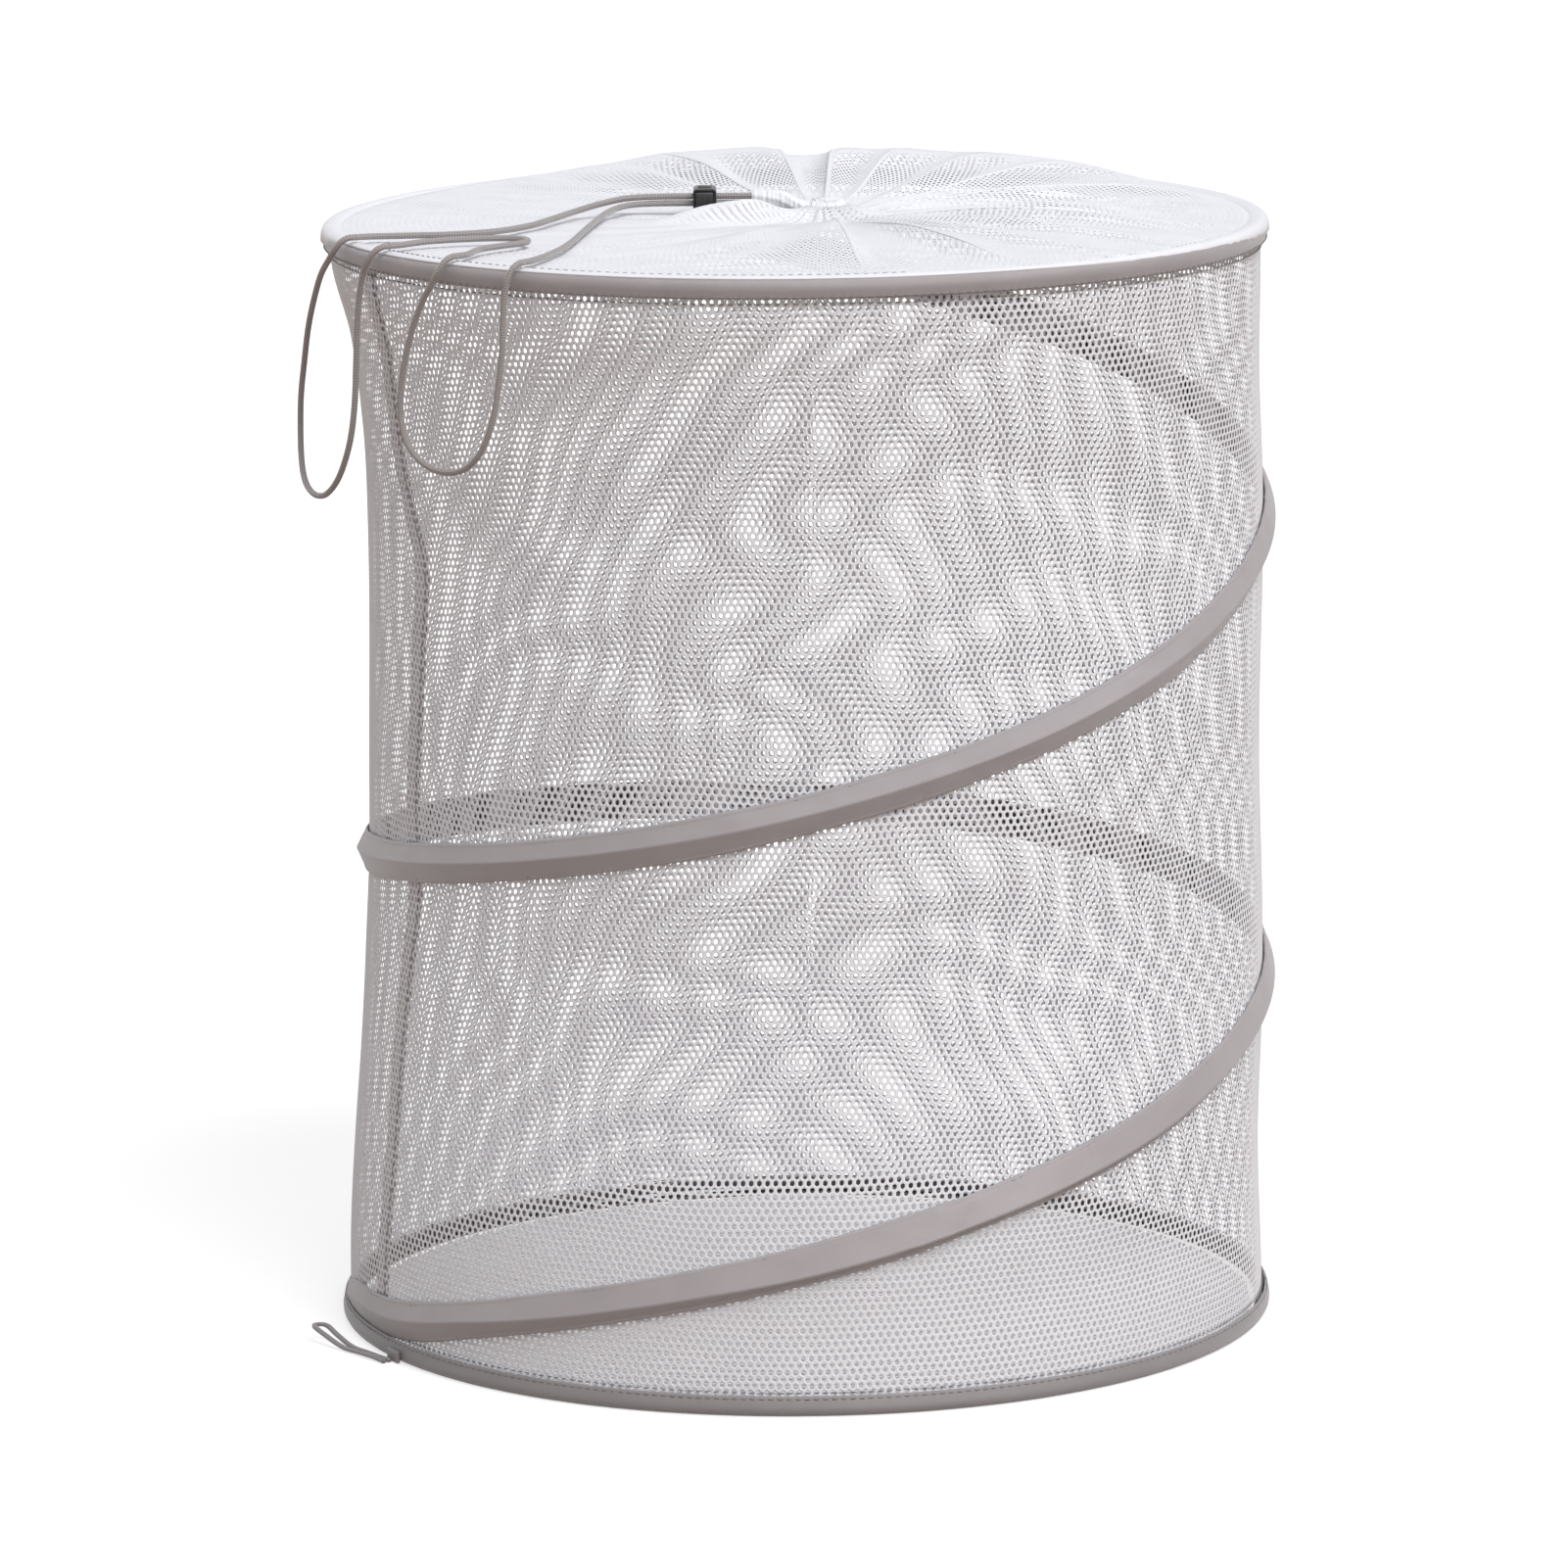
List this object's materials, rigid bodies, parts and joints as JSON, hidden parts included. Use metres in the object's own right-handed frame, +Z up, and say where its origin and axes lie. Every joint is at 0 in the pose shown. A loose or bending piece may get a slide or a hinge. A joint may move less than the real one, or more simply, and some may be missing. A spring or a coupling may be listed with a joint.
{
  "type": "pop up laundry hamper",
  "caption": "Cylindrical pop up hamper of white net on a spring wire spiral in grey tape, with a drawcord cover and cord lock.",
  "frame": {"origin": "on the floor under the middle of the base", "axes": "+Z up along the hamper's axis, -Y towards the front, +X to the right seen from the front"},
  "size_m": [0.3971, 0.3848, 0.464],
  "materials": {
    "white_net": "white warp knit hexagon net",
    "grey_tape": "woven warm grey binding tape",
    "spring_steel": "bare spring steel wire",
    "crimp_metal": "crimped ferrule",
    "grey_cord": "braided warm grey cord",
    "black_plastic": "moulded black plastic"
  },
  "bodies": {
    "base": {"bottom_ring_wire": "spring_steel", "bottom_ring_ferrule": "crimp_metal", "bottom_rim_binding": "grey_tape", "base_panel": "white_net", "wall_mesh": "white_net", "side_seam_tape": "grey_tape", "spiral_wire": "spring_steel", "spiral_sleeve": "grey_tape", "stow_loop_tab": "grey_tape"},
    "top": {"top_ring_wire": "spring_steel", "top_ring_ferrule": "crimp_metal", "top_rim_binding": "grey_tape", "top_cover": "white_net", "cover_hem": "white_net", "drawcord_in_hem": "grey_cord", "drawcord_upper_strand": "grey_cord", "drawcord_left_loop": "grey_cord", "drawcord_rim_return": "grey_cord", "drawcord_right_loop": "grey_cord", "drawcord_lower_strand": "grey_cord"},
    "cord_lock": {"cord_lock_body": "black_plastic", "cord_lock_spring": "spring_steel"},
    "plunger": {"cord_lock_plunger": "black_plastic"},
    "stow_strap": {"stow_loop": "grey_tape"}
  },
  "joints": [
    {"name": "collapse", "type": "slide", "parent": "base", "child": "top", "axis": [0, 0, -1], "range_m": [0, 0.4], "stiffness_N_per_m": 40, "springref_m": -0.1, "deforming": ["wall_mesh", "side_seam_tape", "spiral_wire", "spiral_sleeve", "drawcord_left_loop", "drawcord_right_loop"]},
    {"name": "lock_slide", "type": "slide", "parent": "top", "child": "cord_lock", "axis": [-1, 0, 0], "range_m": [-0.012, 0.016]},
    {"name": "plunger_press", "type": "slide", "parent": "cord_lock", "child": "plunger", "axis": [0, 1, 0], "range_m": [0, 0.0029], "stiffness_N_per_m": 400, "springref_m": -0.004, "deforming": ["cord_lock_spring"]},
    {"name": "stow_loop_swing", "type": "hinge", "parent": "base", "child": "stow_strap", "pos_m": [-0.17017, -0.09825, 0.0011], "axis": [0, 0, 1], "range_deg": [0, 140]}
  ]
}
